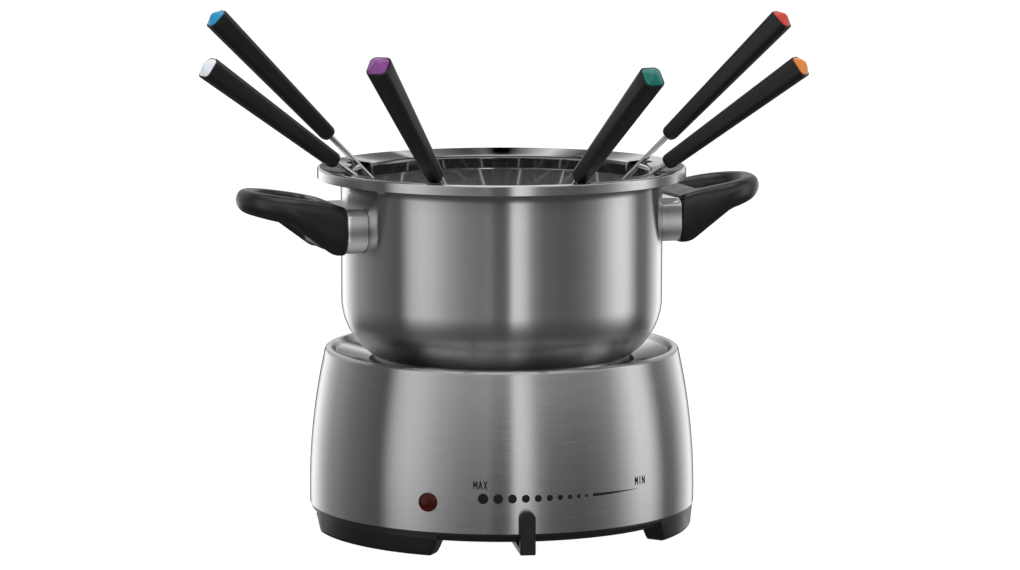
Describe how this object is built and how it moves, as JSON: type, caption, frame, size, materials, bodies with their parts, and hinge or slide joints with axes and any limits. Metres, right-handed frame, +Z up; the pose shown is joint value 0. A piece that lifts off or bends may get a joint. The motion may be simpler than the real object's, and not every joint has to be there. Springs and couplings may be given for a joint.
{
  "type": "electric fondue set",
  "caption": "Electric fondue set with a heated base and temperature lever, a lift-off steel pot with loop handles, a fork ring and forks with coloured caps.",
  "frame": {"origin": "centre of the base on the table plane", "axes": "+Z up, front with the lever and scale at -Y, pot handles along X"},
  "size_m": [0.2955, 0.3551, 0.2584],
  "materials": {
    "brushed_steel": "fine horizontal brushing",
    "ring_steel": "polished top, brushed lip",
    "ferrule_steel": "satin",
    "base_plastic": "satin moulded",
    "pad_rubber": "matt",
    "fastener_steel": "zinc plated",
    "plate_coating": "dark coated casting",
    "element_steel": "heat tinted",
    "shield_aluminium": "mill finish",
    "ceramic": "glazed off-white",
    "contact_brass": "plain",
    "wire_brown": "silicone sleeve",
    "wire_blue": "silicone sleeve",
    "wire_green_yellow": "silicone sleeve",
    "lamp_red": "clear dark red",
    "neon_glass": "clear",
    "cord_black": "matt",
    "tie_black": "matt",
    "pin_nickel": "nickel plated",
    "handle_phenolic": "satin moulded",
    "fork_black": "satin moulded",
    "fork_steel": "polished",
    "cap_blue": "satin",
    "cap_white": "satin",
    "cap_purple": "satin",
    "cap_green": "satin",
    "cap_orange": "satin",
    "cap_red": "satin"
  },
  "bodies": {
    "base": {"base_casing": "brushed_steel", "base_tray": "base_plastic", "foot_pads": "pad_rubber", "tray_screws": "fastener_steel", "hot_plate": "plate_coating", "heating_element": "element_steel", "heat_shield": "shield_aluminium", "plate_nuts": "fastener_steel", "thermostat_body": "ceramic", "thermostat_blades": "contact_brass", "thermostat_bracket": "fastener_steel", "thermal_fuse": "ceramic", "terminal_block": "ceramic", "wire_live": "wire_brown", "wire_neutral": "wire_blue", "wire_earth": "wire_green_yellow", "lamp_lens": "lamp_red", "lamp_clip": "fastener_steel", "neon_lamp": "neon_glass", "cord_grommet": "cord_black", "power_cord": "cord_black", "mains_plug": "cord_black", "plug_pins": "pin_nickel", "cord_tie": "tie_black"},
    "lever": {"control_lever": "base_plastic", "thermostat_spindle": "fastener_steel", "lever_screw": "fastener_steel"},
    "pot": {"pot_shell": "brushed_steel", "pot_core": "shield_aluminium", "pot_base_cap": "brushed_steel", "handle_left": "handle_phenolic", "handle_right": "handle_phenolic", "ferrule_left": "ferrule_steel", "ferrule_right": "ferrule_steel", "handle_brackets": "fastener_steel", "handle_screws": "fastener_steel"},
    "ring": {"fork_ring": "ring_steel"},
    "blue_fork": {"blue_fork_handle": "fork_black", "blue_fork_shaft": "fork_steel", "blue_fork_cap": "cap_blue"},
    "white_fork": {"white_fork_handle": "fork_black", "white_fork_shaft": "fork_steel", "white_fork_cap": "cap_white"},
    "purple_fork": {"purple_fork_handle": "fork_black", "purple_fork_shaft": "fork_steel", "purple_fork_cap": "cap_purple"},
    "green_fork": {"green_fork_handle": "fork_black", "green_fork_shaft": "fork_steel", "green_fork_cap": "cap_green"},
    "orange_fork": {"orange_fork_handle": "fork_black", "orange_fork_shaft": "fork_steel", "orange_fork_cap": "cap_orange"},
    "red_fork": {"red_fork_handle": "fork_black", "red_fork_shaft": "fork_steel", "red_fork_cap": "cap_red"}
  },
  "joints": [
    {"name": "lever_turn", "type": "hinge", "parent": "base", "child": "lever", "pos_m": [0, 0, 0.005], "axis": [0, 0, 1], "range_deg": [-15.7, 37.4]},
    {"name": "pot_lift", "type": "slide", "parent": "base", "child": "pot", "axis": [0, 0, 1], "range_m": [0, 0.12]},
    {"name": "ring_lift", "type": "slide", "parent": "pot", "child": "ring", "axis": [0, 0, 1], "range_m": [0, 0.12]},
    {"name": "blue_fork_draw", "type": "slide", "parent": "ring", "child": "blue_fork", "axis": [-0.7008, -0.0848, 0.7083], "range_m": [0, 0.15]},
    {"name": "white_fork_draw", "type": "slide", "parent": "ring", "child": "white_fork", "axis": [-0.7945, -0.1952, 0.575], "range_m": [0, 0.15]},
    {"name": "purple_fork_draw", "type": "slide", "parent": "ring", "child": "purple_fork", "axis": [-0.4915, -0.5383, 0.6845], "range_m": [0, 0.15]},
    {"name": "green_fork_draw", "type": "slide", "parent": "ring", "child": "green_fork", "axis": [0.1554, -0.7637, 0.6266], "range_m": [0, 0.15]},
    {"name": "orange_fork_draw", "type": "slide", "parent": "ring", "child": "orange_fork", "axis": [0.6008, -0.5448, 0.585], "range_m": [0, 0.15]},
    {"name": "red_fork_draw", "type": "slide", "parent": "ring", "child": "red_fork", "axis": [0.5256, -0.4749, 0.7059], "range_m": [0, 0.15]}
  ]
}
